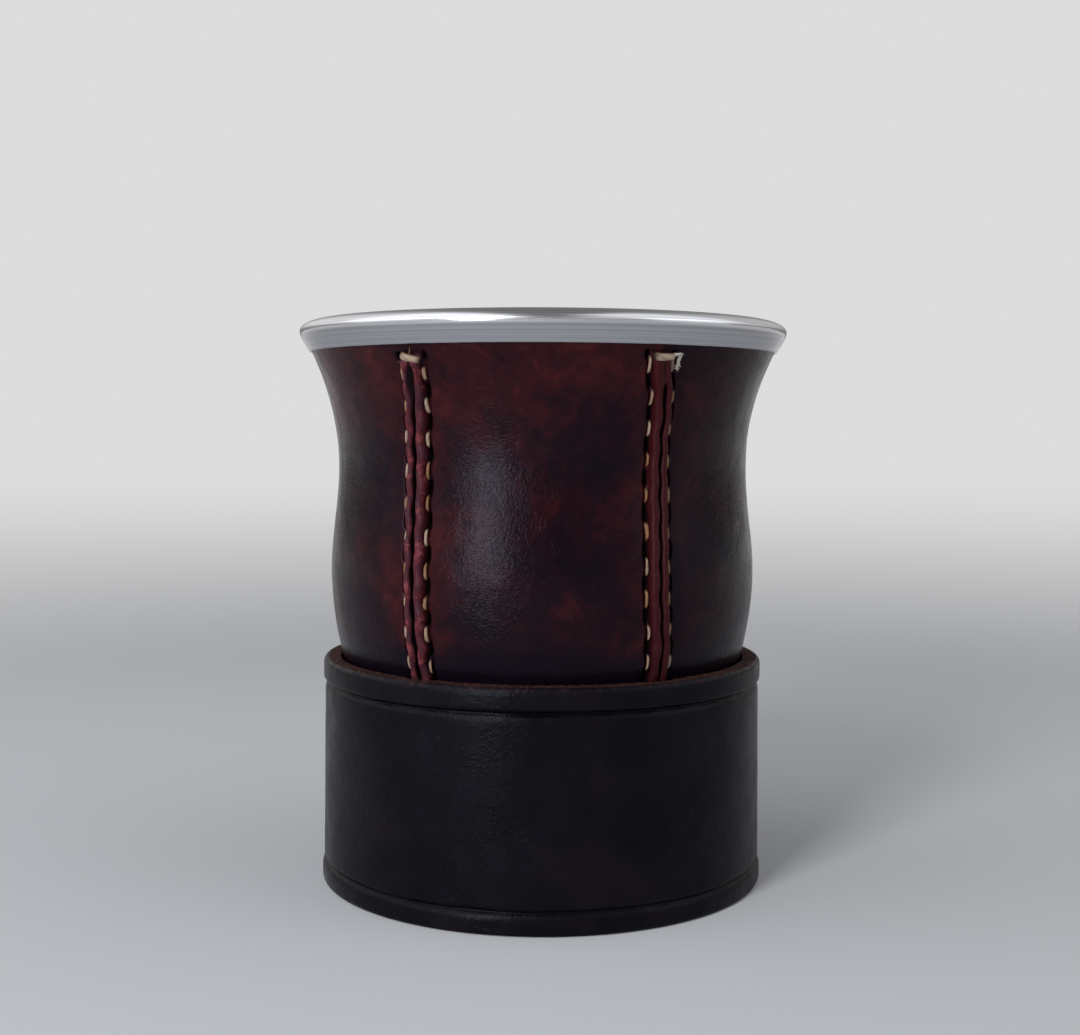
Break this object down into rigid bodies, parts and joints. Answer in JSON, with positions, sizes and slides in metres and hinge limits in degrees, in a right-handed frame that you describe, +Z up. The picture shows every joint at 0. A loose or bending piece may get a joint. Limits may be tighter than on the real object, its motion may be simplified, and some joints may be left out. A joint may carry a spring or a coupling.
{
  "type": "mate gourd cup in a leather ring stand",
  "caption": "Empty mate drinking gourd in a sewn leather cover, with a rolled metal rim, held upright by a leather ring stand.",
  "frame": {"origin": "centre of the ring stand's underside, on the cup's axis, where the stand meets the table", "axes": "+Z up along the cup's axis, -Y towards the front, the side with the two nearest seams, +X to the right seen from the front"},
  "size_m": [0.089, 0.089, 0.1021],
  "materials": {
    "stand_leather": "waxed, almost black, with a raw red-brown top edge",
    "gourd": "dry scraped calabash",
    "rim_metal": "polished, with fine lines round it",
    "cover_leather": "waxed burgundy leather, mottled towards black",
    "thread": "waxed tan thread"
  },
  "bodies": {
    "root": {"ring_stand": "stand_leather", "gourd_shell": "gourd", "rim_collar": "rim_metal", "leather_panel_1": "cover_leather", "leather_panel_2": "cover_leather", "leather_panel_3": "cover_leather", "leather_panel_4": "cover_leather", "leather_panel_5": "cover_leather", "seam_thread_1": "thread", "seam_thread_2": "thread", "seam_thread_3": "thread", "seam_thread_4": "thread", "seam_thread_5": "thread"}
  },
  "joints": []
}
